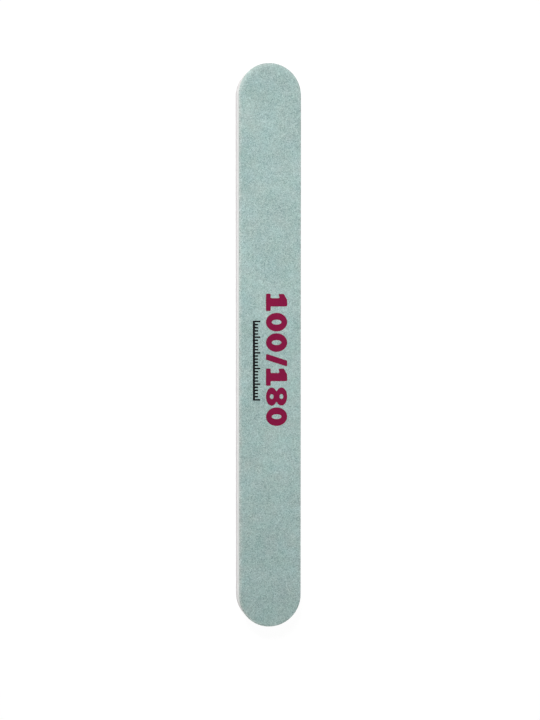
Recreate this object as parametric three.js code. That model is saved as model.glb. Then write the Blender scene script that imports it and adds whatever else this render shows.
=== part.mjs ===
// Double-sided nail buffer: a straight board with half-round ends, die-cut in one stroke
// from a bonded stack of abrasive paper, soft foam and a stiff plastic core.
// Millimetres, +Z up. The board lies on its rear face with its length along Y,
// and the origin is at the middle of that face.

import * as THREE from 'three';

// Outline that the cutting die gives to every layer
const BOARD_LENGTH = 180;
const BOARD_WIDTH = 20;
const STEPS_PER_QUARTER_TURN = 20;

// Thickness of each sheet in the stack
const GRIT_COAT_THICKNESS = 0.15;
const BACKING_PAPER_THICKNESS = 0.2;
const PAPER_ADHESIVE_THICKNESS = 0.1;
const FOAM_THICKNESS = 2.5;
const CORE_ADHESIVE_THICKNESS = 0.1;
const CORE_STRIP_THICKNESS = 1;

// Abrasive grains set in tinted resin, the face that does the buffing
function gritCoat() {
  const material = new THREE.MeshStandardMaterial({ color: 0xa3bab7, roughness: 0.95, metalness: 0 });
  return { thickness: GRIT_COAT_THICKNESS, material };
}

// Latex-soaked paper that carries the grit coat
function backingPaper() {
  const material = new THREE.MeshStandardMaterial({ color: 0xd5d6cf, roughness: 0.9, metalness: 0 });
  return { thickness: BACKING_PAPER_THICKNESS, material };
}

// Pressure-sensitive film that bonds the abrasive paper to the foam
function paperAdhesive() {
  const material = new THREE.MeshStandardMaterial({ color: 0xe6e3d3, roughness: 0.35, metalness: 0 });
  return { thickness: PAPER_ADHESIVE_THICKNESS, material };
}

// Closed-cell foam cushion that lets the abrasive follow a nail
function foamLayer() {
  const material = new THREE.MeshStandardMaterial({ color: 0xe4e4e5, roughness: 0.85, metalness: 0 });
  return { thickness: FOAM_THICKNESS, material };
}

// Pressure-sensitive film that bonds the foam to the core
function coreAdhesive() {
  const material = new THREE.MeshStandardMaterial({ color: 0xe6e3d3, roughness: 0.35, metalness: 0 });
  return { thickness: CORE_ADHESIVE_THICKNESS, material };
}

// Polystyrene strip that keeps the board straight
function coreStrip() {
  const material = new THREE.MeshStandardMaterial({ color: 0xf0f0ee, roughness: 0.4, metalness: 0 });
  return { thickness: CORE_STRIP_THICKNESS, material };
}

// Board seen from above: two straight sides joined by half-round ends
function boardOutline() {
  const endRadius = BOARD_WIDTH / 2;
  const endCentre = BOARD_LENGTH / 2 - endRadius;
  const outline = new THREE.Shape();
  outline.absarc(0, endCentre, endRadius, 0, Math.PI, false);
  outline.absarc(0, -endCentre, endRadius, Math.PI, 2 * Math.PI, false);
  outline.closePath();
  return outline;
}

// One layer of the board, cut to the outline and laid at its height in the stack
function cutLayer(name, outline, layer, height) {
  const geometry = new THREE.ExtrudeGeometry(outline, {
    depth: layer.thickness,
    curveSegments: STEPS_PER_QUARTER_TURN,
    bevelEnabled: false,
  });
  const mesh = new THREE.Mesh(geometry, layer.material);
  mesh.name = name;
  mesh.position.z = height;
  return mesh;
}

// The stack from the rear face up to the front face
const stack = [
  ['rear_grit_coat', gritCoat()],
  ['rear_backing_paper', backingPaper()],
  ['rear_paper_adhesive', paperAdhesive()],
  ['rear_foam_layer', foamLayer()],
  ['rear_core_adhesive', coreAdhesive()],
  ['core_strip', coreStrip()],
  ['front_core_adhesive', coreAdhesive()],
  ['front_foam_layer', foamLayer()],
  ['front_paper_adhesive', paperAdhesive()],
  ['front_backing_paper', backingPaper()],
  ['front_grit_coat', gritCoat()],
];

const board = new THREE.Group();
const outline = boardOutline();
let height = 0;
for (const [name, layer] of stack) {
  board.add(cutLayer(name, outline, layer, height));
  height += layer.thickness;
}

export default board;
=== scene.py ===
import math
from functools import partial

import bpy
from mathutils import Euler, Matrix, Vector


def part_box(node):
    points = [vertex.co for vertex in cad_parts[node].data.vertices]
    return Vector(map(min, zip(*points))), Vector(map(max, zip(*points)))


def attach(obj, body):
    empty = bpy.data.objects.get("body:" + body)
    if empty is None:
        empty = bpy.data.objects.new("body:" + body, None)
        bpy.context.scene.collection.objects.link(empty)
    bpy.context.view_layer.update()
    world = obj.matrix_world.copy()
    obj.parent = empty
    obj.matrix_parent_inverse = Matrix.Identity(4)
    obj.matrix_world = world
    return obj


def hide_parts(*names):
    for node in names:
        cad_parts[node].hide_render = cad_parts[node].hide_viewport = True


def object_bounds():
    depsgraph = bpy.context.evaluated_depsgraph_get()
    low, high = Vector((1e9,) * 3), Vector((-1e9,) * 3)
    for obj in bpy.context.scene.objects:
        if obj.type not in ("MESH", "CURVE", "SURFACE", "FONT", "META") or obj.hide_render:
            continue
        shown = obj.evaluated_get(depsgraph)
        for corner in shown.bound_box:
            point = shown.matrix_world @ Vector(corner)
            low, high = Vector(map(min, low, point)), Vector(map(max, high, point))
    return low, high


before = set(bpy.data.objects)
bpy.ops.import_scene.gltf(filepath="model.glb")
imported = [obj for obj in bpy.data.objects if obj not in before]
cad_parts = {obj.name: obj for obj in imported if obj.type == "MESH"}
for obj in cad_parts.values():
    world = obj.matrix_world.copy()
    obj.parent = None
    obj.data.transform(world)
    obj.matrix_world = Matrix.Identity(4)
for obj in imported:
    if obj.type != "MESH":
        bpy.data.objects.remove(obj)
cad_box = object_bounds()


# Core strip: white polystyrene, a millimetre thick, that keeps the board straight. The die shears it
# in the same stroke as the layers glued to it, so its edge is satin with fine upright drag marks.

MM = 0.001
SAME_POINT = 0.001 * MM


def add_node(tree, kind, inputs, **settings):
    """Adds a node, sets its properties, and feeds its inputs with sockets or plain values."""
    made = tree.nodes.new(kind)
    for name, value in settings.items():
        setattr(made, name, value)
    for key, value in inputs.items():
        if isinstance(value, bpy.types.NodeSocket):
            tree.links.new(value, made.inputs[key])
        else:
            made.inputs[key].default_value = value
    return made


def calculate(tree, operation, *values):
    """The result of one math node on sockets or plain numbers."""
    return add_node(tree, "ShaderNodeMath", dict(enumerate(values)), operation=operation).outputs[0]


def on_vectors(tree, operation, *values):
    """The result of one vector math node on sockets or plain vectors."""
    return add_node(tree, "ShaderNodeVectorMath", dict(enumerate(values)), operation=operation).outputs[0]


def scaled(tree, vector, factor):
    return add_node(tree, "ShaderNodeVectorMath", {0: vector, "Scale": factor}, operation="SCALE").outputs[0]


def to_vector(tree, **parts):
    """A vector from its X, Y and Z, which are 0 where they aren't given."""
    return add_node(tree, "ShaderNodeCombineXYZ", parts).outputs[0]


def parts_of(tree, vector):
    """A vector's X, Y and Z."""
    return add_node(tree, "ShaderNodeSeparateXYZ", {"Vector": vector}).outputs


def clamp(tree, value, low, high):
    return add_node(tree, "ShaderNodeClamp", {"Value": value, "Min": low, "Max": high}).outputs[0]


def ease(tree, value, start, end):
    """0 before start, 1 past end, and a smooth step between them."""
    inputs = {"Value": value, "From Min": start, "From Max": end}
    return add_node(tree, "ShaderNodeMapRange", inputs, interpolation_type="SMOOTHSTEP").outputs[0]


def repeats(tree, size):
    """How many patches of this size lie along a metre."""
    if isinstance(size, bpy.types.NodeSocket):
        return calculate(tree, "DIVIDE", 1, size)
    return 1 / size


def noise(tree, vector, size, detail=2.0):
    """A noise value whose blotches are about this big."""
    inputs = {"Vector": vector, "Scale": repeats(tree, size), "Detail": detail}
    return add_node(tree, "ShaderNodeTexNoise", inputs).outputs[0]


def swing(tree, vector, size, detail=2.0):
    """A noise value to both sides of 0, by up to about 1."""
    from_middle = calculate(tree, "SUBTRACT", noise(tree, vector, size, detail), 0.5)
    return calculate(tree, "MULTIPLY", from_middle, 2)


def cells(tree, vector, size):
    """Cells about this big, each with a colour of its own and the distance from its middle."""
    inputs = {"Vector": vector, "Scale": repeats(tree, size)}
    return add_node(tree, "ShaderNodeTexVoronoi", inputs, feature="F1").outputs


def new_tree(name, kind, inputs, outputs):
    """A node tree with named inputs and outputs, and the sockets inside it that lead from and to them."""
    tree = bpy.data.node_groups.new(name, kind)
    for direction, sockets in (("INPUT", inputs), ("OUTPUT", outputs)):
        for label, kind_of_value in sockets.items():
            tree.interface.new_socket(label, in_out=direction, socket_type="NodeSocket" + kind_of_value)
    return tree, tree.nodes.new("NodeGroupInput").outputs, tree.nodes.new("NodeGroupOutput").inputs


def end_tree(tree, geometry, material, result):
    """Ends a geometry tree in real faces that wear the given material."""
    real = add_node(tree, "GeometryNodeRealizeInstances", {"Geometry": geometry})
    dressed = add_node(tree, "GeometryNodeSetMaterial", {"Geometry": real.outputs[0], "Material": material})
    tree.links.new(dressed.outputs[0], result)


def store(tree, geometry, name, value, data_type="FLOAT", domain="POINT"):
    """The geometry with a named attribute stored on it."""
    inputs = {"Geometry": geometry, "Name": name, "Value": value}
    kind = "GeometryNodeStoreNamedAttribute"
    return add_node(tree, kind, inputs, data_type=data_type, domain=domain).outputs[0]


def stored(tree, name, data_type="FLOAT"):
    """A named attribute of the geometry."""
    return add_node(tree, "GeometryNodeInputNamedAttribute", {"Name": name}, data_type=data_type).outputs[0]


def position_of(tree):
    return add_node(tree, "GeometryNodeInputPosition", {}).outputs[0]


def move(tree, geometry, **where):
    """The geometry with its points at a Position, or moved by an Offset."""
    return add_node(tree, "GeometryNodeSetPosition", {"Geometry": geometry, **where}).outputs[0]


def close_seams(tree, geometry):
    """The geometry with points that lie together made one."""
    inputs = {"Geometry": geometry, "Distance": SAME_POINT}
    return add_node(tree, "GeometryNodeMergeByDistance", inputs).outputs[0]


def make_die_cut_layer():
    """The tree that cuts a layer: one sheet of rows that starts at the middle line of the rear face, runs
    out to the rim, up the cut wall and back in over the front face. Its columns go once round the outline
    from the upper end, and a point is a place on the board's middle line plus a step outwards from it. The
    sheet's own grid, folded into bands, is the map that its finish is baked on."""
    tree, given, result = new_tree(
        "Die-cut layer",
        "GeometryNodeTree",
        {
            "Length": "Float",
            "Width": "Float",
            "Base": "Float",
            "Thickness": "Float",
            "Edge Steps": "Int",
            "Rear Rows": "Int",
            "Wall Rows": "Int",
            "Front Rows": "Int",
            "Map Bands": "Int",
            "Material": "Material",
        },
        {"Layer": "Geometry"},
    )
    calc = partial(calculate, tree)

    rows = calc("ADD", calc("ADD", given["Rear Rows"], given["Wall Rows"]), given["Front Rows"])
    grid = {
        "Size X": given["Edge Steps"],
        "Size Y": rows,
        "Vertices X": calc("ADD", given["Edge Steps"], 1),
        "Vertices Y": calc("ADD", rows, 1),
    }
    sheet = add_node(tree, "GeometryNodeMeshGrid", grid).outputs[0]
    place = parts_of(tree, position_of(tree))
    column = calc("ADD", place["X"], calc("DIVIDE", given["Edge Steps"], 2))
    row = calc("ADD", place["Y"], calc("DIVIDE", rows, 2))

    radius = calc("DIVIDE", given["Width"], 2)
    straight = calc("SUBTRACT", given["Length"], given["Width"])
    quarter = calc("MULTIPLY", radius, math.pi / 2)
    half = calc("MULTIPLY", radius, math.pi)
    perimeter = calc("ADD", calc("MULTIPLY", half, 2), calc("MULTIPLY", straight, 2))
    along = calc("MULTIPLY", column, calc("DIVIDE", perimeter, given["Edge Steps"]))
    past_first_arc = calc("SUBTRACT", along, quarter)
    past_left_side = calc("SUBTRACT", past_first_arc, straight)
    past_lower_arc = calc("SUBTRACT", past_left_side, half)
    past_right_side = calc("SUBTRACT", past_lower_arc, straight)
    left_run = clamp(tree, past_first_arc, 0, straight)
    right_run = clamp(tree, past_lower_arc, 0, straight)
    first_turn = calc("MINIMUM", along, quarter)
    lower_turn = clamp(tree, past_left_side, 0, half)
    last_turn = calc("MAXIMUM", past_right_side, 0)
    turned = calc("ADD", calc("ADD", first_turn, lower_turn), last_turn)
    angle = calc("ADD", calc("DIVIDE", turned, radius), math.pi / 2)
    middle = calc("ADD", calc("SUBTRACT", calc("DIVIDE", straight, 2), left_run), right_run)

    past_rear = calc("SUBTRACT", row, given["Rear Rows"])
    past_wall = calc("SUBTRACT", past_rear, given["Wall Rows"])
    rear_share = calc("DIVIDE", calc("MAXIMUM", calc("MULTIPLY", past_rear, -1), 0), given["Rear Rows"])
    front_share = calc("DIVIDE", calc("MAXIMUM", past_wall, 0), given["Front Rows"])
    inset = calc("MULTIPLY", calc("ADD", rear_share, front_share), radius)
    rise = clamp(tree, calc("DIVIDE", past_rear, given["Wall Rows"]), 0, 1)

    cosine, sine = calc("COSINE", angle), calc("SINE", angle)
    reach = calc("SUBTRACT", radius, inset)
    outward = to_vector(tree, X=cosine, Y=sine)
    point = to_vector(
        tree,
        X=calc("MULTIPLY", reach, cosine),
        Y=calc("ADD", middle, calc("MULTIPLY", reach, sine)),
        Z=calc("ADD", given["Base"], calc("MULTIPLY", rise, given["Thickness"])),
    )

    in_bands = calc("DIVIDE", column, calc("DIVIDE", given["Edge Steps"], given["Map Bands"]))
    at_faces = {"Value": in_bands}
    middle_of_face = add_node(tree, "GeometryNodeFieldOnDomain", at_faces, domain="FACE").outputs[0]
    band = calc("FLOOR", middle_of_face)
    up_the_map = calc("DIVIDE", calc("ADD", band, calc("DIVIDE", row, rows)), given["Map Bands"])
    folded = to_vector(tree, X=calc("SUBTRACT", in_bands, band), Y=up_the_map)

    sheet = store(tree, sheet, "OFBake", folded, "FLOAT2", "CORNER")
    sheet = store(tree, sheet, "inset", inset)
    sheet = store(tree, sheet, "rise", rise)
    sheet = store(tree, sheet, "outward", outward, "FLOAT_VECTOR")
    sheet = move(tree, sheet, Position=point)
    end_tree(tree, close_seams(tree, sheet), given["Material"], result["Layer"])
    return tree


def make_cut_wall():
    """The tree that works a layer's cut wall: it draws in at half height, wanders a little as it follows
    the die, and opens foam cells that the die cut through. The rims stay where the layers meet."""
    tree, given, result = new_tree(
        "Cut wall",
        "GeometryNodeTree",
        {
            "Layer": "Geometry",
            "Draw In": "Float",
            "Wander": "Float",
            "Wander Size": "Float",
            "Cell Size": "Float",
            "Cell Depth": "Float",
            "Seed": "Float",
            "Material": "Material",
        },
        {"Layer": "Geometry"},
    )
    calc = partial(calculate, tree)
    rim_band = 0.12
    cell_reach = 0.7

    rise = stored(tree, "rise")
    fall = calc("SUBTRACT", 1, rise)
    # Rise times fall is a quarter at half height, so four of them make a bow of 1 there
    bow = calc("MULTIPLY", calc("MULTIPLY", rise, fall), 4)
    clear_of_rims = calc("MULTIPLY", ease(tree, rise, 0, rim_band), ease(tree, fall, 0, rim_band))
    on_wall = calc("LESS_THAN", stored(tree, "inset"), SAME_POINT)

    spot = on_vectors(tree, "ADD", position_of(tree), to_vector(tree, Z=given["Seed"]))
    wander = calc("MULTIPLY", swing(tree, spot, given["Wander Size"], detail=3.0), given["Wander"])

    cell = cells(tree, spot, given["Cell Size"])
    from_middle = calc("DIVIDE", cell["Distance"], cell_reach)
    bowl = calc("MAXIMUM", calc("SUBTRACT", 1, calc("MULTIPLY", from_middle, from_middle)), 0)
    cut_share = parts_of(tree, cell["Color"])["X"]
    opened = calc("MULTIPLY", calc("MULTIPLY", bowl, cut_share), calc("MULTIPLY", clear_of_rims, on_wall))

    drawn_in = calc("MULTIPLY", bow, given["Draw In"])
    inward = calc("ADD", drawn_in, calc("MULTIPLY", opened, given["Cell Depth"]))
    outward = calc("MULTIPLY", on_wall, calc("SUBTRACT", wander, inward))
    step = scaled(tree, stored(tree, "outward", "FLOAT_VECTOR"), outward)
    worked = store(tree, given["Layer"], "opened", opened)
    worked = move(tree, worked, Offset=step)
    end_tree(tree, worked, given["Material"], result["Layer"])
    return tree


def rework(piece, *steps):
    """Runs geometry trees on a piece, one after another, and keeps the result as plain faces, without the
    empty material slots that some trees leave."""
    for tree, values in steps:
        modifier = piece.modifiers.new(tree.name, "NODES")
        modifier.node_group = tree
        for item in tree.interface.items_tree:
            if item.in_out == "INPUT" and item.name in values:
                modifier[item.identifier] = values[item.name]
    depsgraph = bpy.context.evaluated_depsgraph_get()
    mesh = bpy.data.meshes.new_from_object(
        piece.evaluated_get(depsgraph), preserve_all_data_layers=True, depsgraph=depsgraph
    )
    for index in reversed(range(len(mesh.materials))):
        if mesh.materials[index] is None:
            mesh.materials.pop(index=index)
    piece.modifiers.clear()
    piece.data = mesh
    mesh.name = piece.name


def grow(name, start, *steps):
    """A new piece at the origin, made from a mesh by geometry trees."""
    piece = bpy.data.objects.new(name, start)
    bpy.context.collection.objects.link(piece)
    rework(piece, *steps)
    return piece


def smooth_up_to(piece, degrees):
    """Rounds the shading of a piece, except across edges that turn more sharply than this."""
    piece.data.shade_smooth()
    piece.data.set_sharp_from_angle(angle=math.radians(degrees))


def layer_values(node, material, grid):
    """What the die needs to cut a layer in the place of its CAD node, on a grid of its own."""
    low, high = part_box(node)
    place = {
        "Length": high[1] - low[1],
        "Width": high[0] - low[0],
        "Base": low[2],
        "Thickness": high[2] - low[2],
        "Material": material,
    }
    return place | {"Rear Rows": 1, "Front Rows": 1, "Map Bands": 10} | grid


def cut_layer(node, name, material, grid, wall):
    """A layer in the place of its CAD node, cut by the die and worked along its wall."""
    cut = (die_cut_layer, layer_values(node, material, grid))
    return grow(name, bpy.data.meshes.new(name), cut, (cut_wall, wall | {"Material": material}))


def seat(piece, node):
    """Puts a finished piece in its CAD node's stead."""
    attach(piece, "root")
    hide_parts(node)


def object_place(tree):
    return add_node(tree, "ShaderNodeTexCoord", {}).outputs["Object"]


def mix(tree, factor, first, second):
    """A colour between two, at a factor from 0 to 1."""
    inputs = {"Factor": factor, 6: first, 7: second}
    return add_node(tree, "ShaderNodeMix", inputs, data_type="RGBA").outputs[2]


def make_drag_marks():
    """The marks that the die leaves on every cut edge: upright streaks and slow changes of tone."""
    tree, given, result = new_tree(
        "Die drag marks",
        "ShaderNodeTree",
        {"Base": "Color", "Streak": "Color", "Amount": "Float"},
        {"Color": "Color", "Height": "Float"},
    )
    streak_width = 0.35 * MM
    patch_size = 9 * MM
    squashed_upright = (1, 1, 0.06)
    faint, full = 0.42, 0.72
    place = object_place(tree)
    upright = add_node(tree, "ShaderNodeMapping", {"Vector": place, "Scale": squashed_upright}).outputs[0]
    streaks = ease(tree, noise(tree, upright, streak_width, detail=3.0), faint, full)
    patches = noise(tree, place, patch_size)
    marked = calculate(tree, "MULTIPLY", calculate(tree, "MULTIPLY", streaks, patches), given["Amount"])
    tree.links.new(mix(tree, marked, given["Base"], given["Streak"]), result["Color"])
    tree.links.new(calculate(tree, "SUBTRACT", 1, streaks), result["Height"])
    return tree


def use_group(tree, group, values):
    """The outputs of a shared shader group, placed in a material with its own values."""
    return add_node(tree, "ShaderNodeGroup", values, node_tree=group).outputs


def new_material(name, roughness, specular):
    """A material with one shader, whose even values are set on the shader itself."""
    material = bpy.data.materials.new(name)
    material.use_nodes = True
    shader = material.node_tree.nodes["Principled BSDF"]
    shader.inputs["Roughness"].default_value = roughness
    shader.inputs["Specular IOR Level"].default_value = specular
    return material, material.node_tree, shader


def bump(tree, shader, height, depth):
    """Feeds the shader a normal from a height, at this depth in metres."""
    inputs = {"Height": height, "Distance": depth, "Strength": 1.0}
    tree.links.new(add_node(tree, "ShaderNodeBump", inputs).outputs[0], shader.inputs["Normal"])


die_cut_layer = make_die_cut_layer()
cut_wall = make_cut_wall()
drag_marks = make_drag_marks()


def sheared_plastic(name, roughness, base, streak, amount):
    """Smooth plastic, marked along its edge by the die."""
    material, tree, shader = new_material(name, roughness, specular=0.5)
    marks = use_group(tree, drag_marks, {"Base": base, "Streak": streak, "Amount": amount})
    tree.links.new(marks["Color"], shader.inputs["Base Color"])
    bump(tree, shader, marks["Height"], depth=0.01 * MM)
    return material


polystyrene = sheared_plastic(
    "white polystyrene",
    roughness=0.38,
    base=(0.82, 0.82, 0.81, 1),
    streak=(0.67, 0.67, 0.66, 1),
    amount=0.6,
)
core = cut_layer(
    "core_strip",
    "core_strip_sheared",
    polystyrene,
    grid={"Edge Steps": 1280, "Wall Rows": 6},
    wall={"Wander": 0.015 * MM, "Wander Size": 0.8 * MM},
)
smooth_up_to(core, degrees=50)
seat(core, "core_strip")


# Core adhesive: a film of tacky acrylic on each face of the core, a tenth of a millimetre thick.
# It is rolled on before cutting, and swells a hair past the wall where the die squeezed it.

adhesive = sheared_plastic(
    "acrylic adhesive",
    roughness=0.3,
    base=(0.75, 0.74, 0.69, 1),
    streak=(0.60, 0.585, 0.53, 1),
    amount=0.8,
)


def lay_film(node, seed):
    grid = {"Edge Steps": 1280, "Wall Rows": 4}
    wall = {"Draw In": -0.03 * MM, "Wander": 0.02 * MM, "Wander Size": 1.5 * MM, "Seed": seed}
    film = cut_layer(node, node + "_film", adhesive, grid, wall)
    smooth_up_to(film, degrees=50)
    seat(film, node)


lay_film("rear_core_adhesive", seed=1.0)
lay_film("front_core_adhesive", seed=2.0)


# Foam layers: closed-cell foam, two and a half millimetres on each side of the core, white at the front;
# the rear layer is coloured a little greyer, as painted shade nearer the floor. The die presses it flat as
# it cuts, so the wall springs back slightly hollow, with its cells laid open; the opened cells are coloured
# darker, as painted shade in their hollows.


def attribute(tree, name):
    """A named attribute of the mesh, for a material."""
    return add_node(tree, "ShaderNodeAttribute", {}, attribute_name=name).outputs["Fac"]


def closed_cell_foam(name, skin, streak, cell_shade):
    material, tree, shader = new_material(name, roughness=0.88, specular=0.25)
    pore_size = 0.12 * MM
    marks = use_group(tree, drag_marks, {"Base": skin, "Streak": streak, "Amount": 0.5})
    # Painted shade: the opened cells take the darker cell colour, as shade in their hollows.
    cells_with_shade = mix(tree, attribute(tree, "opened"), marks["Color"], cell_shade)
    tree.links.new(cells_with_shade, shader.inputs["Base Color"])
    bump(tree, shader, noise(tree, object_place(tree), pore_size, detail=3.0), depth=0.03 * MM)
    return material


def lay_foam(node, material, seed):
    grid = {"Edge Steps": 3200, "Wall Rows": 21}
    wall = {
        "Draw In": 0.12 * MM,
        "Wander": 0.03 * MM,
        "Wander Size": 4 * MM,
        "Cell Size": 0.34 * MM,
        "Cell Depth": 0.09 * MM,
        "Seed": seed,
    }
    foam = cut_layer(node, node + "_cut", material, grid, wall)
    smooth_up_to(foam, degrees=60)
    seat(foam, node)


# Painted shade: the rear foam is coloured greyer than the front foam, as shade nearer the floor.
shaded_rear_foam = closed_cell_foam(
    "greyish foam",
    skin=(0.76, 0.74, 0.75, 1),
    streak=(0.69, 0.67, 0.68, 1),
    cell_shade=(0.60, 0.58, 0.59, 1),
)
white_foam = closed_cell_foam(
    "white foam",
    skin=(0.765, 0.795, 0.785, 1),
    streak=(0.70, 0.73, 0.72, 1),
    cell_shade=(0.61, 0.63, 0.625, 1),
)
lay_foam("rear_foam_layer", shaded_rear_foam, seed=3.0)
lay_foam("front_foam_layer", white_foam, seed=4.0)


# Paper adhesive: the same acrylic film, which bonds the abrasive paper to the foam on each side.
# The paper shields it, so it shows only as a hairline round the cut edge.

lay_film("rear_paper_adhesive", seed=5.0)
lay_film("front_paper_adhesive", seed=6.0)


# Backing papers: latex-soaked kraft sheet that carries the grit. It is cut clean by the die, and its
# edge shows pale fibres with a little grey where the resin has soaked in.


def latex_paper():
    material, tree, shader = new_material("latex-soaked paper", roughness=0.85, specular=0.3)
    fibre_size = 0.08 * MM
    soaked = {"Base": (0.70, 0.71, 0.68, 1), "Streak": (0.50, 0.52, 0.49, 1), "Amount": 0.9}
    marks = use_group(tree, drag_marks, soaked)
    tree.links.new(marks["Color"], shader.inputs["Base Color"])
    bump(tree, shader, noise(tree, object_place(tree), fibre_size, detail=3.0), depth=0.02 * MM)
    return material


backing_paper = latex_paper()


def lay_paper(node, seed):
    grid = {"Edge Steps": 1600, "Wall Rows": 4}
    wall = {"Wander": 0.025 * MM, "Wander Size": 0.6 * MM, "Seed": seed}
    paper = cut_layer(node, node + "_sheet", backing_paper, grid, wall)
    smooth_up_to(paper, degrees=50)
    seat(paper, node)


lay_paper("rear_backing_paper", seed=7.0)
lay_paper("front_backing_paper", seed=8.0)


# Grit coats: blue-green resin that holds the abrasive on each sheet. It is poured over the paper and
# sets a little below the grain tips, uneven between them. Along its rim it is rolled over and chipped by
# the die. The rim is coloured paler, partly as rubbing and mostly as a painted highlight where light from
# the upper left catches the rolled rim. Round the upper end it is paler still, all of it painted highlight.
# The chips are painted near black, as painted shade in the notches.

RESIN_BELOW_TIPS = 0.06 * MM
RESIN_TONE = (0.36, 0.497, 0.477, 1)
PALE_TONE = (0.60, 0.75, 0.72, 1)
FLECK_SIZE = 0.21 * MM


def make_grit_relief():
    """The tree that turns a coat's outer face into set resin, with hollows between the grains, a rim
    that the die rolled over, and chips broken out of that rim."""
    tree, given, result = new_tree(
        "Grit relief",
        "GeometryNodeTree",
        {
            "Coat": "Geometry",
            "Facing": "Float",
            "Below Tips": "Float",
            "Relief": "Float",
            "Relief Size": "Float",
            "Rim Roll": "Float",
            "Rim Width": "Float",
            "Chip Size": "Float",
            "Chip Depth": "Float",
            "Seed": "Float",
            "Material": "Material",
        },
        {"Coat": "Geometry"},
    )
    calc = partial(calculate, tree)
    whole, broken = 0.47, 0.64

    inset = stored(tree, "inset")
    # Outer is 1 on the face that looks out of the board, and 0 on the one against the paper
    towards_front = calc("SUBTRACT", stored(tree, "rise"), 0.5)
    outer = calc("ADD", calc("MULTIPLY", towards_front, given["Facing"]), 0.5)
    place = parts_of(tree, position_of(tree))
    flat_place = to_vector(tree, X=place["X"], Y=place["Y"], Z=given["Seed"])

    relief = calc("MULTIPLY", swing(tree, flat_place, given["Relief Size"]), given["Relief"])
    near_rim = calc("SUBTRACT", 1, ease(tree, inset, 0, given["Rim Width"]))
    roll = calc("MULTIPLY", near_rim, given["Rim Roll"])
    height = calc("SUBTRACT", calc("SUBTRACT", relief, given["Below Tips"]), roll)
    lift = to_vector(tree, Z=calc("MULTIPLY", calc("MULTIPLY", outer, given["Facing"]), height))

    on_rim = calc("MULTIPLY", calc("LESS_THAN", inset, SAME_POINT), outer)
    weak = noise(tree, flat_place, given["Chip Size"])
    chipped = calc("MULTIPLY", on_rim, ease(tree, weak, whole, broken))
    inward = calc("MULTIPLY", calc("MULTIPLY", chipped, given["Chip Depth"]), -1)
    chip = scaled(tree, stored(tree, "outward", "FLOAT_VECTOR"), inward)
    coat = store(tree, given["Coat"], "chipped", chipped)
    coat = move(tree, coat, Offset=on_vectors(tree, "ADD", lift, chip))
    end_tree(tree, coat, given["Material"], result["Coat"])
    return tree


def make_speckle():
    """Grains of mixed tone under tinted resin: small flecks, some pale and some dark, on mottling that
    drifts slowly between greener and greyer."""
    tree, given, result = new_tree(
        "Grit speckle",
        "ShaderNodeTree",
        {"Base": "Color", "Pale": "Color", "Dark": "Color", "Fleck Size": "Float", "Contrast": "Float"},
        {"Color": "Color", "Height": "Float"},
    )
    calc = partial(calculate, tree)
    place = object_place(tree)
    ragged_size, ragged_reach = 0.12 * MM, 0.07 * MM
    pale_from, dark_from = 0.35, 0.45
    mottle_size, mottle_weight = 1.6 * MM, 0.26
    cloud_size, cloud_weight = 11 * MM, 0.275
    hue_size = 4.5 * MM
    greener, greyer = (0.89, 1, 0.955), (1.11, 1, 1.045)

    def drift(size, low, high):
        inputs = {"Vector": place, "Scale": repeats(tree, size), "Detail": 2.0}
        wander = add_node(tree, "ShaderNodeTexNoise", inputs).outputs["Color"]
        span = tuple(last - first for first, last in zip(low, high))
        return on_vectors(tree, "MULTIPLY_ADD", wander, span, low)

    ragged = drift(ragged_size, (-ragged_reach,) * 3, (ragged_reach,) * 3)
    flecks = cells(tree, on_vectors(tree, "ADD", place, ragged), given["Fleck Size"])
    tone = add_node(tree, "ShaderNodeSeparateColor", {"Color": flecks["Color"]}).outputs
    pale_flecks = ease(tree, tone["Red"], pale_from, 1.0)
    dark_flecks = ease(tree, tone["Green"], dark_from, 1.0)
    mottle = calc("MULTIPLY", swing(tree, place, mottle_size, detail=4.0), mottle_weight)
    clouds = calc("MULTIPLY", swing(tree, place, cloud_size), cloud_weight)
    slow = calc("ADD", mottle, clouds)
    pale = clamp(tree, calc("MULTIPLY", calc("ADD", pale_flecks, slow), given["Contrast"]), 0, 1)
    dark = clamp(tree, calc("MULTIPLY", calc("SUBTRACT", dark_flecks, slow), given["Contrast"]), 0, 1)
    color = mix(tree, dark, mix(tree, pale, given["Base"], given["Pale"]), given["Dark"])
    hue = drift(hue_size, greener, greyer)
    tree.links.new(on_vectors(tree, "MULTIPLY", color, hue), result["Color"])
    tree.links.new(calc("SUBTRACT", 1, flecks["Distance"]), result["Height"])
    return tree


grit_relief = make_grit_relief()
speckle = make_speckle()


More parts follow.
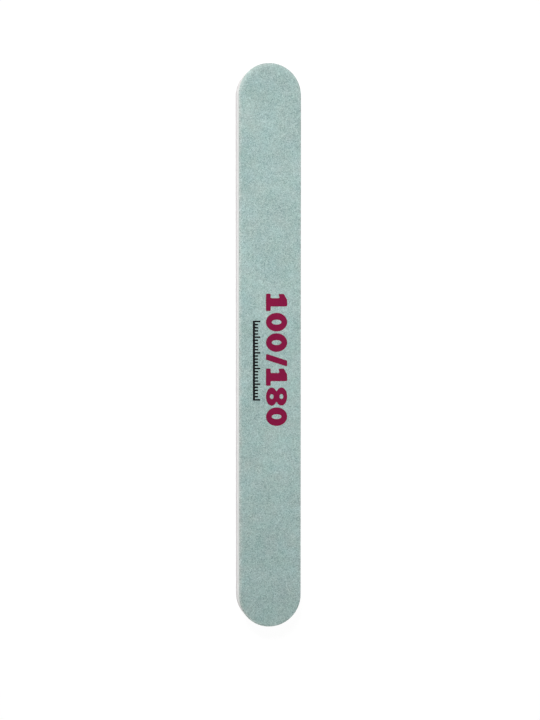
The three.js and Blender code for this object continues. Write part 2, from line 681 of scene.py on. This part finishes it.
def tinted_resin():
    """Speckled resin. Near the rim it is coloured paler, partly as rubbing and mostly as a painted
    highlight, and round the upper end it is paler still as a painted highlight, both of them more on the
    left, towards the lamp. It is painted near black where the rim is chipped, as painted shade in the
    notches."""
    material, tree, shader = new_material("blue-green grit resin", roughness=0.78, specular=0.3)
    calc = partial(calculate, tree)
    patch_size = 0.4 * MM
    # Paler tint along the rim: mostly painted highlight where light from the upper left catches the rolled
    # rim, partly rubbing.
    rubbed_and_lit_tint, rub_and_highlight_reach = (1.5, 1.23, 1.21, 1), 2.6 * MM
    right_rub_and_highlight, more_highlight_on_left = 0.12, 0.42
    half_across = 8 * MM
    # Paler tint round the upper end: painted highlight.
    upper_highlight_tone, upper_highlight_reach = (0.64, 0.78, 0.75, 1), 4.4 * MM
    right_upper_highlight, more_upper_highlight_on_left = 0.24, 0.38
    upper_end = cad_box[1][1]
    upper_highlight_from, upper_highlight_all_over = upper_end - 12 * MM, upper_end - 4 * MM
    left_from, fully_left = 2 * MM, 7 * MM
    # Near-black tint in the chips: painted shade in the notches.
    chip_shade_tone, chip_shade_cover = (0.09, 0.09, 0.08, 1), 0.85

    mixture = {
        "Base": RESIN_TONE,
        "Pale": PALE_TONE,
        "Dark": (0.13, 0.203, 0.198, 1),
        "Fleck Size": FLECK_SIZE,
        "Contrast": 0.57,
    }
    flecks = use_group(tree, speckle, mixture)
    place = object_place(tree)
    parts = parts_of(tree, place)
    leftward = calc("MULTIPLY", parts["X"], -1)
    inset = attribute(tree, "inset")
    uneven = noise(tree, place, patch_size, detail=3.0)

    def near_rim(reach):
        return calc("SUBTRACT", 1, ease(tree, inset, 0, calc("MULTIPLY", uneven, reach)))

    on_left = ease(tree, leftward, -half_across, half_across)
    # Painted highlight along the rim, stronger on the left towards the lamp, with a little rubbing.
    rub_and_highlight = calc("MULTIPLY", near_rim(rub_and_highlight_reach), calc("MULTIPLY_ADD", on_left, more_highlight_on_left, right_rub_and_highlight))
    marked = on_vectors(tree, "MULTIPLY", flecks["Color"], mix(tree, rub_and_highlight, (1, 1, 1, 1), rubbed_and_lit_tint))

    # Painted highlight round the upper end, stronger on the left towards the lamp.
    round_end = calc("MULTIPLY", near_rim(upper_highlight_reach), ease(tree, parts["Y"], upper_highlight_from, upper_highlight_all_over))
    left_of_end = ease(tree, leftward, left_from, fully_left)
    upper_highlight = calc("MULTIPLY", round_end, calc("MULTIPLY_ADD", left_of_end, more_upper_highlight_on_left, right_upper_highlight))
    with_upper_highlight = mix(tree, upper_highlight, marked, upper_highlight_tone)
    # Painted shade: the chips are coloured near black.
    chipped = calc("MULTIPLY", attribute(tree, "chipped"), chip_shade_cover)
    tree.links.new(mix(tree, chipped, with_upper_highlight, chip_shade_tone), shader.inputs["Base Color"])
    bump(tree, shader, flecks["Height"], depth=0.04 * MM)
    return material


resin = tinted_resin()


def pour_coat(node, name, facing, outer_rows, seed):
    """A grit coat in the place of its CAD node, with fine rows on the side that faces out."""
    grid = {"Edge Steps": 1920, "Wall Rows": 3, outer_rows: 40, "Map Bands": 6}
    wall = {"Wander": 0.04 * MM, "Wander Size": 0.5 * MM, "Seed": seed}
    face = {
        "Facing": facing,
        "Below Tips": RESIN_BELOW_TIPS,
        "Relief": 0.03 * MM,
        "Relief Size": 0.7 * MM,
        "Rim Roll": 0.05 * MM,
        "Rim Width": 0.5 * MM,
        "Chip Size": 0.55 * MM,
        "Chip Depth": 0.2 * MM,
        "Seed": seed,
        "Material": resin,
    }
    coat = cut_layer(node, name, resin, grid, wall)
    rework(coat, (grit_relief, face))
    smooth_up_to(coat, degrees=60)
    seat(coat, node)
    return coat


rear_coat = pour_coat("rear_grit_coat", "rear_grit_resin", facing=-1.0, outer_rows="Rear Rows", seed=9.0)
front_coat = pour_coat("front_grit_coat", "front_grit_resin", facing=1.0, outer_rows="Front Rows", seed=10.0)


# Abrasive grains: crushed mineral, up to a quarter of a millimetre across, shaken over the wet resin on
# both sheets. Each is a sharp crystal of its own tone, half sunk, with its tip at the CAD face.


def make_scattered_grains():
    """The tree that scatters half-sunk crystals over the faces of a coat that look out of the board. The
    board's plan, cut into bands that lie side by side, is the map that their finish is baked on."""
    tree, given, result = new_tree(
        "Scattered grains",
        "GeometryNodeTree",
        {
            "Coat": "Geometry",
            "Facing": "Float",
            "Spacing": "Float",
            "Density": "Float",
            "Smallest": "Float",
            "Largest": "Float",
            "Face Height": "Float",
            "Bare Rim": "Float",
            "Plan Length": "Float",
            "Plan Width": "Float",
            "Map Bands": "Int",
            "Seed": "Int",
            "Material": "Material",
        },
        {"Grains": "Geometry"},
    )
    calc = partial(calculate, tree)
    least_upright = 0.5
    map_margin = 0.01

    def random_vector(low, high, seed_step):
        inputs = {0: low, 1: high, "Seed": calc("ADD", given["Seed"], seed_step)}
        return add_node(tree, "FunctionNodeRandomValue", inputs, data_type="FLOAT_VECTOR").outputs[0]

    normal = add_node(tree, "GeometryNodeInputNormal", {}).outputs[0]
    upright = calc("MULTIPLY", parts_of(tree, normal)["Z"], given["Facing"])
    looks_out = {"Geometry": given["Coat"], "Selection": calc("GREATER_THAN", upright, least_upright)}
    face = add_node(tree, "GeometryNodeSeparateGeometry", looks_out, domain="FACE").outputs["Selection"]
    shaken = {
        "Mesh": face,
        "Distance Min": given["Spacing"],
        "Density Max": given["Density"],
        "Density Factor": ease(tree, stored(tree, "inset"), 0, given["Bare Rim"]),
        "Seed": given["Seed"],
    }
    kind = "GeometryNodeDistributePointsOnFaces"
    spots = add_node(tree, kind, shaken, distribute_method="POISSON").outputs["Points"]

    place = parts_of(tree, position_of(tree))
    across = calc("ADD", calc("DIVIDE", place["X"], given["Plan Width"]), 0.5)
    along = calc("ADD", calc("DIVIDE", place["Y"], given["Plan Length"]), 0.5)
    in_bands = calc("MULTIPLY", along, given["Map Bands"])
    spots = store(tree, spots, "band", calc("FLOOR", in_bands))
    tone = random_vector((0, 0, 0), (1, 1, 1), seed_step=1)
    spots = store(tree, spots, "tone", parts_of(tree, tone)["X"])

    eight_sided = {"Segments": 4, "Rings": 2, "Radius": 0.5}
    crystal = add_node(tree, "GeometryNodeMeshUVSphere", eight_sided).outputs["Mesh"]
    smallest = to_vector(tree, **dict.fromkeys("XYZ", given["Smallest"]))
    largest = to_vector(tree, **dict.fromkeys("XYZ", given["Largest"]))
    sunk = {
        "Points": spots,
        "Instance": crystal,
        "Rotation": random_vector((0, 0, 0), (2 * math.pi,) * 3, seed_step=2),
        "Scale": random_vector(smallest, largest, seed_step=3),
    }
    grains = add_node(tree, "GeometryNodeInstanceOnPoints", sunk).outputs[0]
    grains = add_node(tree, "GeometryNodeRealizeInstances", {"Geometry": grains}).outputs[0]
    sharp = {"Geometry": grains, "Shade Smooth": False}
    grains = add_node(tree, "GeometryNodeSetShadeSmooth", sharp).outputs[0]

    proud = calc("MULTIPLY", calc("SUBTRACT", place["Z"], given["Face Height"]), given["Facing"])
    below_face = calc("MULTIPLY", calc("MINIMUM", proud, 0), given["Facing"])
    level = calc("ADD", below_face, given["Face Height"])
    grains = move(tree, grains, Position=to_vector(tree, X=place["X"], Y=place["Y"], Z=level))

    band = stored(tree, "band")
    beside = calc("DIVIDE", calc("ADD", band, across), given["Map Bands"])
    in_band = calc("MULTIPLY_ADD", calc("SUBTRACT", in_bands, band), 1 - 2 * map_margin, map_margin)
    grains = store(tree, grains, "OFBake", to_vector(tree, X=beside, Y=in_band), "FLOAT2", "CORNER")
    end_tree(tree, grains, given["Material"], result["Grains"])
    return tree


def crushed_mineral():
    """Crystals that each take one tone, from dark through the resin's own to pale."""
    material, tree, shader = new_material("blue-green mineral grains", roughness=0.55, specular=0.5)
    dark_tone = (0.15, 0.233, 0.223, 1)
    half_way = 0.5
    tone = attribute(tree, "tone")
    paler = mix(tree, ease(tree, tone, half_way, 1.0), RESIN_TONE, PALE_TONE)
    tree.links.new(mix(tree, ease(tree, tone, 0.0, half_way), dark_tone, paler), shader.inputs["Base Color"])
    return material


scattered_grains = make_scattered_grains()
mineral = crushed_mineral()


def scatter_grains(name, coat, facing, face_height, seed):
    low, high = cad_box
    past_rim = 1 * MM
    values = {
        "Facing": facing,
        "Spacing": 0.226 * MM,
        "Density": 14.0 / MM**2,
        "Smallest": 0.11 * MM,
        "Largest": 0.25 * MM,
        "Face Height": face_height,
        "Bare Rim": 0.35 * MM,
        "Plan Length": high[1] - low[1] + past_rim,
        "Plan Width": high[0] - low[0] + past_rim,
        "Map Bands": 3,
        "Seed": seed,
        "Material": mineral,
    }
    grains = grow(name, coat.data.copy(), (scattered_grains, values))
    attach(grains, "root")
    return grains


rear_face, front_face = cad_box[0][2], cad_box[1][2]
rear_grains = scatter_grains("rear_grains", rear_coat, facing=-1.0, face_height=rear_face, seed=11)
front_grains = scatter_grains("front_grains", front_coat, facing=1.0, face_height=front_face, seed=12)


# Printed mark: the two grit numbers in magenta and a black millimetre scale, screen-printed on the
# finished sheet. The ink floods the hollows between the grains and coats the grains that it covers.

NUMBERS_HEIGHT = 6.9 * MM
NUMBERS_MIDDLE = (2.1 * MM, -4.25 * MM)
FIGURE_GAP = 0.085
SCALE_MIDDLE = (-5.25 * MM, -4.45 * MM)
INK_BELOW_TIPS = 0.03 * MM
INK_THICKNESS = 0.08 * MM
INK_REACH = 0.07 * MM


def oval(middle, half_width, half_height, start=0, end=360):
    """Points along an oval, from one angle to another, in shares of a numeral's height."""
    steps = 48
    angles = [math.radians(start + (end - start) * step / steps) for step in range(steps)]
    return [(half_width * math.cos(a), middle + half_height * math.sin(a)) for a in angles]


def numeral_one():
    """The outline of a 1 with a flag and a foot."""
    stem = [(0.19, 0.22), (0.19, 1), (-0.12, 1), (-0.39, 0.84), (-0.39, 0.58), (-0.19, 0.65), (-0.19, 0.22)]
    return [[(-0.4, 0), (0.4, 0), (0.4, 0.22), *stem, (-0.4, 0.22)]]


def numeral_zero():
    """The outline of a 0 and its counter."""
    outline = oval(middle=0.5, half_width=0.43, half_height=0.5)
    counter = oval(middle=0.5, half_width=0.115, half_height=0.23)
    return [outline, counter]


def numeral_eight():
    """The outline of an 8, whose two bowls meet at half height, and its two counters."""
    half_width, half_height = 0.42, 0.27
    low, high = half_height, 1 - half_height
    waist = math.degrees(math.asin((0.5 - low) / half_height))
    upper = oval(high, half_width, half_height, start=-waist, end=180 + waist)
    lower = oval(low, half_width, half_height, start=180 - waist, end=360 + waist)
    counters = [oval(middle, half_width=0.115, half_height=0.09) for middle in (high, low)]
    return [upper + lower, *counters]


def slash():
    """The outline of a stroke that leans to the right."""
    return [[(-0.3, 0), (-0.02, 0), (0.3, 1), (0.02, 1)]]


def number_outlines(figures):
    """Closed outlines of a row of figures along X, with its middle at the origin, one numeral high."""
    points, edges, reach = [], [], 0
    for loops in figures:
        left = min(x for x, y in loops[0])
        for loop in loops:
            first = len(points)
            points += [(x - left + reach, y - 0.5, 0) for x, y in loop]
            edges += [(first + step, first + (step + 1) % len(loop)) for step in range(len(loop))]
        reach += max(x for x, y in loops[0]) - left + FIGURE_GAP
    outlines = bpy.data.meshes.new("numbers")
    outlines.from_pydata(points, edges, [])
    outlines.transform(Matrix.Translation(((FIGURE_GAP - reach) / 2, 0, 0)))
    return outlines


def make_printed_film():
    """The tree that fills drawn outlines with ink: rounded corners, open counters, an even thickness."""
    tree, given, result = new_tree(
        "Printed film",
        "GeometryNodeTree",
        {"Outlines": "Geometry", "Corner": "Float", "Thickness": "Float", "Material": "Material"},
        {"Film": "Geometry"},
    )
    loops = add_node(tree, "GeometryNodeMeshToCurve", {"Mesh": given["Outlines"]}).outputs[0]
    rounding = {"Curve": loops, "Radius": given["Corner"], "Limit Radius": True, "Count": 3}
    rounded = add_node(tree, "GeometryNodeFilletCurve", rounding, mode="POLY").outputs[0]
    printed = add_node(tree, "GeometryNodeFillCurve", {"Curve": rounded}).outputs[0]
    rise = {"Mesh": printed, "Offset": (0, 0, 1), "Offset Scale": given["Thickness"], "Individual": False}
    raised = add_node(tree, "GeometryNodeExtrudeMesh", rise).outputs[0]
    underside = add_node(tree, "GeometryNodeFlipFaces", {"Mesh": printed}).outputs[0]
    film = add_node(tree, "GeometryNodeJoinGeometry", {"Geometry": raised})
    tree.links.new(underside, film.inputs["Geometry"])
    end_tree(tree, close_seams(tree, film.outputs[0]), given["Material"], result["Film"])
    return tree


def make_printed_scale():
    """The tree that lays a measuring scale along Y: a base line, and marks of which each fifth is longer.
    The marks start on the middle of the base line, and all of it is joined into one film."""
    tree, given, result = new_tree(
        "Printed scale",
        "GeometryNodeTree",
        {
            "Marks": "Int",
            "Pitch": "Float",
            "Short Mark": "Float",
            "Long Mark": "Float",
            "Mark Width": "Float",
            "Base Width": "Float",
            "Thickness": "Float",
            "Material": "Material",
        },
        {"Scale": "Geometry"},
    )
    calc = partial(calculate, tree)
    long_mark_every = 5

    def bar(length, width):
        size = to_vector(tree, X=length, Y=width, Z=given["Thickness"])
        return add_node(tree, "GeometryNodeMeshCube", {"Size": size}).outputs[0]

    span = calc("MULTIPLY", calc("SUBTRACT", given["Marks"], 1), given["Pitch"])
    row = {
        "Count": given["Marks"],
        "Start Location": to_vector(tree, Y=calc("DIVIDE", span, 2)),
        "Offset": to_vector(tree, Y=calc("MULTIPLY", given["Pitch"], -1)),
    }
    spots = add_node(tree, "GeometryNodeMeshLine", row).outputs[0]
    index = add_node(tree, "GeometryNodeInputIndex", {}).outputs[0]
    is_long = calc("LESS_THAN", calc("MODULO", index, long_mark_every), 0.5)
    longer = calc("MULTIPLY", is_long, calc("SUBTRACT", given["Long Mark"], given["Short Mark"]))
    past_base = calc("ADD", given["Short Mark"], longer)
    reach = calc("ADD", past_base, calc("DIVIDE", given["Base Width"], 2))
    spots = move(tree, spots, Offset=to_vector(tree, X=calc("DIVIDE", reach, 2)))
    stretch = to_vector(tree, X=reach, Y=1, Z=1)
    stretched = {"Points": spots, "Instance": bar(1, given["Mark Width"]), "Scale": stretch}
    marks = add_node(tree, "GeometryNodeInstanceOnPoints", stretched).outputs[0]
    base_line = bar(given["Base Width"], calc("ADD", span, given["Mark Width"]))
    joined = add_node(tree, "GeometryNodeMeshBoolean", {"Mesh": marks}, operation="UNION", solver="EXACT")
    tree.links.new(base_line, joined.inputs["Mesh"])
    end_tree(tree, joined.outputs["Mesh"], given["Material"], result["Scale"])
    return tree


def make_ink_over_grains():
    """The tree that coats the grains lying in a printed figure with its ink."""
    tree, given, result = new_tree(
        "Ink over grains",
        "GeometryNodeTree",
        {"Grains": "Geometry", "Figure": "Object", "Reach": "Float", "Material": "Material"},
        {"Grains": "Geometry"},
    )
    figure = add_node(tree, "GeometryNodeObjectInfo", {"Object": given["Figure"]}).outputs["Geometry"]
    near = add_node(tree, "GeometryNodeProximity", {0: figure}, target_element="FACES").outputs["Distance"]
    inked = calculate(tree, "LESS_THAN", near, given["Reach"])
    real = add_node(tree, "GeometryNodeRealizeInstances", {"Geometry": given["Grains"]}).outputs[0]
    coating = {"Geometry": real, "Selection": inked, "Material": given["Material"]}
    coated = add_node(tree, "GeometryNodeSetMaterial", coating).outputs[0]
    tree.links.new(coated, result["Grains"])
    return tree


def screen_ink(name, base, pale, dark):
    material, tree, shader = new_material(name, roughness=0.7, specular=0.08)
    mixture = {"Base": base, "Pale": pale, "Dark": dark, "Fleck Size": FLECK_SIZE, "Contrast": 0.35}
    flecks = use_group(tree, speckle, mixture)
    tree.links.new(flecks["Color"], shader.inputs["Base Color"])
    bump(tree, shader, flecks["Height"], depth=0.02 * MM)
    return material


printed_film = make_printed_film()
printed_scale = make_printed_scale()
ink_over_grains = make_ink_over_grains()
magenta = screen_ink(
    "magenta ink",
    base=(0.226, 0.0065, 0.049, 1),
    pale=(0.28, 0.014, 0.072, 1),
    dark=(0.165, 0.004, 0.033, 1),
)
black = screen_ink(
    "black ink",
    base=(0.006, 0.006, 0.007, 1),
    pale=(0.013, 0.013, 0.014, 1),
    dark=(0.003, 0.003, 0.003, 1),
)
ink_base = front_face - INK_BELOW_TIPS - INK_THICKNESS

one, zero, eight = numeral_one(), numeral_zero(), numeral_eight()
outlines = number_outlines([one, zero, zero, slash(), one, eight, zero])
outlines.transform(Matrix.Rotation(math.radians(-90), 4, "Z") @ Matrix.Scale(NUMBERS_HEIGHT, 4))
film = {"Corner": 0.3 * MM, "Thickness": INK_THICKNESS, "Material": magenta}
numbers = grow("magenta_numbers", outlines, (printed_film, film))
numbers.data.transform(Matrix.Translation((*NUMBERS_MIDDLE, ink_base)))
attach(numbers, "root")

marks = {
    "Marks": 26,
    "Pitch": 1 * MM,
    "Short Mark": 1.0 * MM,
    "Long Mark": 1.7 * MM,
    "Mark Width": 0.5 * MM,
    "Base Width": 0.7 * MM,
    "Thickness": INK_THICKNESS,
    "Material": black,
}
scale = grow("black_scale", bpy.data.meshes.new("black_scale"), (printed_scale, marks))
scale.data.transform(Matrix.Translation((*SCALE_MIDDLE, ink_base + INK_THICKNESS / 2)))
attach(scale, "root")

rework(
    front_grains,
    (ink_over_grains, {"Figure": numbers, "Reach": INK_REACH, "Material": magenta}),
    (ink_over_grains, {"Figure": scale, "Reach": INK_REACH, "Material": black}),
)


# Studio: a pale floor under the board and one soft lamp, stronger towards the board's upper end. The
# camera stands off to the left of square and tips a little, at the photograph's angle and distance.

FLOOR_HALF = 2.0
FLOOR_TONE = 0.12
FLOOR_GLOW = 0.925
ROOM_LIGHT = 0.425
LAMP_PLACE = Vector((-0.13, 0.3, 0.4))
LAMP_SIZE = 0.2
LAMP_SPREAD = math.radians(50)
LAMP_POWER = 0.18
CAMERA_YAW = math.radians(10.6)
CAMERA_PITCH = math.radians(2.1)
CAMERA_DISTANCE = 480 * MM
CAMERA_LENS = 75.15
CAMERA_NEAREST = 10 * MM
AIM_BELOW_MIDDLE = 4.26 * MM
AIM_LEFT_OF_MIDDLE = 0.05 * MM


def pale_floor():
    material, tree, shader = new_material("pale floor", roughness=0.9, specular=0.1)
    shader.inputs["Base Color"].default_value = (FLOOR_TONE, FLOOR_TONE, FLOOR_TONE, 1)
    shader.inputs["Emission Color"].default_value = (1, 1, 1, 1)
    shader.inputs["Emission Strength"].default_value = FLOOR_GLOW
    return material


floor_mesh = bpy.data.meshes.new("floor")
floor_corners = [(x * FLOOR_HALF, y * FLOOR_HALF, 0) for x, y in ((-1, -1), (1, -1), (1, 1), (-1, 1))]
floor_mesh.from_pydata(floor_corners, [], [(0, 1, 2, 3)])
floor_mesh.materials.append(pale_floor())
floor = bpy.data.objects.new("floor", floor_mesh)
bpy.context.collection.objects.link(floor)

lamp_data = bpy.data.lights.new("upper_soft_light", "AREA")
lamp_data.shape = "DISK"
lamp_data.size = LAMP_SIZE
lamp_data.spread = LAMP_SPREAD
lamp_data.energy = LAMP_POWER
lamp = bpy.data.objects.new("upper_soft_light", lamp_data)
lamp.location = LAMP_PLACE
lamp.rotation_euler = (-LAMP_PLACE).to_track_quat("-Z", "Y").to_euler()
lamp.visible_camera = False
bpy.context.collection.objects.link(lamp)

world = bpy.data.worlds.new("white room")
world.use_nodes = True
sky = world.node_tree.nodes["Background"]
sky.inputs["Color"].default_value = (1, 1, 1, 1)
# The camera sees the room as bright as the far floor, though the room lights the board with less
seen = add_node(world.node_tree, "ShaderNodeLightPath", {}).outputs["Is Camera Ray"]
far_floor = FLOOR_GLOW + FLOOR_TONE * ROOM_LIGHT
brightness = calculate(world.node_tree, "MULTIPLY_ADD", seen, far_floor - ROOM_LIGHT, ROOM_LIGHT)
world.node_tree.links.new(brightness, sky.inputs["Strength"])
bpy.context.scene.world = world
bpy.context.scene.view_settings.view_transform = "Standard"

aim = Vector((-AIM_LEFT_OF_MIDDLE, -AIM_BELOW_MIDDLE, front_face))
turn = Euler((-CAMERA_PITCH, -CAMERA_YAW, 0))
forward = turn.to_matrix() @ Vector((0, 0, -1))
camera_data = bpy.data.cameras.new("camera")
camera_data.lens = CAMERA_LENS
camera_data.clip_start = CAMERA_NEAREST
camera = bpy.data.objects.new("camera", camera_data)
camera.location = aim - forward * CAMERA_DISTANCE
camera.rotation_euler = turn
bpy.context.collection.objects.link(camera)
bpy.context.scene.camera = camera
